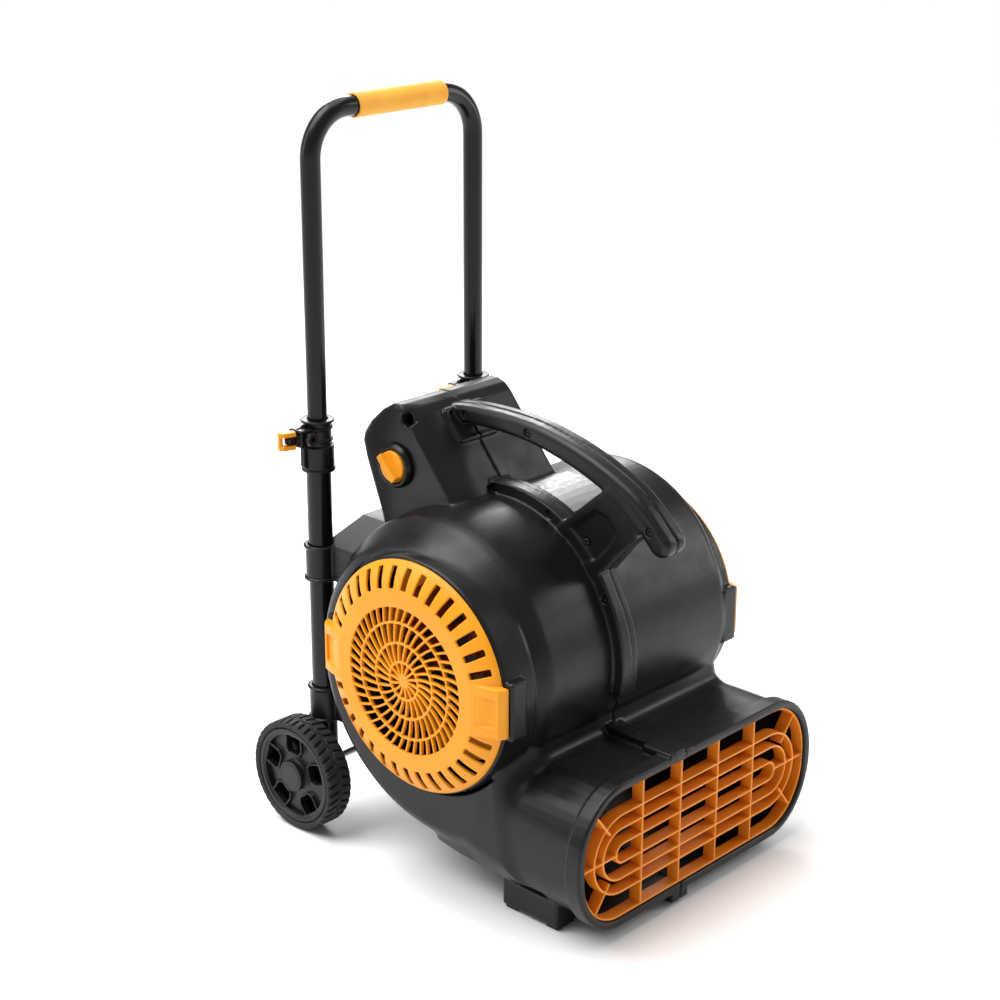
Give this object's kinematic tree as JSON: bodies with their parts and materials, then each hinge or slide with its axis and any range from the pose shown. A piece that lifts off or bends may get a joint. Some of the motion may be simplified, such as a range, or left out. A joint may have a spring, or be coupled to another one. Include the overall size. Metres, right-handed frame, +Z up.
{
  "type": "air mover",
  "caption": "Wheeled centrifugal air mover: twin-intake volute blower with wide grilled outlet, carry handle, speed knob and telescoping U-shaped trolley handle.",
  "frame": {"origin": "floor level under the middle of the bounding box", "axes": "+Z up, air leaves towards -Y, wheels at +Y, speed knob on the -X side"},
  "size_m": [0.485, 0.568, 0.9496],
  "materials": {
    "housing_black": "moulded black, fine grain",
    "screw_black": "blackened steel",
    "foot_rubber": "matt",
    "plate_grey": "blank foil plate",
    "outlet_orange": "moulded orange",
    "intake_amber": "moulded amber, satin",
    "motor_metal": "cast and painted",
    "mount_metal": "pressed sheet",
    "steel": "turned",
    "trim_black": "satin",
    "knob_amber": "satin",
    "switch_plastic": "satin",
    "capacitor_metal": "drawn can",
    "tube_black": "gloss black powder coat",
    "grip_amber": "foam rubber, matt",
    "wheel_black": "satin",
    "tyre": "matt tread"
  },
  "bodies": {
    "housing": {"housing_left": "housing_black", "housing_right": "housing_black", "control_box_left": "housing_black", "control_box_right": "housing_black", "carry_handle_left": "housing_black", "carry_handle_right": "housing_black", "cross_member_upper": "housing_black", "cross_member_lower": "housing_black", "clamp_collar_left": "housing_black", "clamp_collar_right": "housing_black", "assembly_screw_1": "screw_black", "assembly_screw_2": "screw_black", "assembly_screw_3": "screw_black", "assembly_screw_4": "screw_black", "assembly_screw_5": "screw_black", "assembly_screw_6": "screw_black", "assembly_screw_7": "screw_black", "assembly_screw_8": "screw_black", "clamp_bolt_left": "screw_black", "clamp_bolt_right": "screw_black", "foot_pad_left_front": "foot_rubber", "foot_pad_left_back": "foot_rubber", "foot_pad_right_front": "foot_rubber", "foot_pad_right_back": "foot_rubber", "rating_plate": "plate_grey", "outlet_grille": "outlet_orange", "intake_grille_left": "intake_amber", "intake_grille_right": "intake_amber", "motor": "motor_metal", "motor_mount": "mount_metal", "shaft_bearing": "steel", "axle": "steel", "knob_bezel": "trim_black", "cord_gland": "trim_black", "speed_switch": "switch_plastic", "run_capacitor": "capacitor_metal", "lower_tube_left": "tube_black", "lower_tube_right": "tube_black"},
    "fan": {"impeller": "outlet_orange", "motor_shaft": "steel"},
    "wheel_left": {"wheel_rim_left": "wheel_black", "tyre_left": "tyre", "hub_cap_left": "wheel_black"},
    "wheel_right": {"wheel_rim_right": "wheel_black", "tyre_right": "tyre", "hub_cap_right": "wheel_black"},
    "knob": {"speed_knob": "knob_amber"},
    "handle": {"handle_tube": "tube_black", "handle_grip": "grip_amber"},
    "lever_left": {"clamp_lever_left": "knob_amber"},
    "lever_right": {"clamp_lever_right": "knob_amber"}
  },
  "joints": [
    {"name": "fan_spin", "type": "hinge", "parent": "housing", "child": "fan", "pos_m": [-0.0095, -0.023, 0.289], "axis": [1, 0, 0], "continuous": true},
    {"name": "wheel_left_spin", "type": "hinge", "parent": "housing", "child": "wheel_left", "pos_m": [-0.2045, 0.209, 0.075], "axis": [1, 0, 0], "continuous": true},
    {"name": "wheel_right_spin", "type": "hinge", "parent": "housing", "child": "wheel_right", "pos_m": [0.1635, 0.209, 0.075], "axis": [1, 0, 0], "continuous": true},
    {"name": "knob_turn", "type": "hinge", "parent": "housing", "child": "knob", "pos_m": [-0.1215, 0.119, 0.498], "axis": [-1, 0, 0], "range_deg": [0, 135]},
    {"name": "handle_slide", "type": "slide", "parent": "housing", "child": "handle", "axis": [0, 0, 1], "range_m": [-0.3, 0]},
    {"name": "lever_left_turn", "type": "hinge", "parent": "housing", "child": "lever_left", "pos_m": [-0.2075, 0.209, 0.533], "axis": [0, 0, 1], "range_deg": [-60, 20]},
    {"name": "lever_right_turn", "type": "hinge", "parent": "housing", "child": "lever_right", "pos_m": [0.0745, 0.209, 0.533], "axis": [0, 0, 1], "range_deg": [-80, 0]}
  ]
}
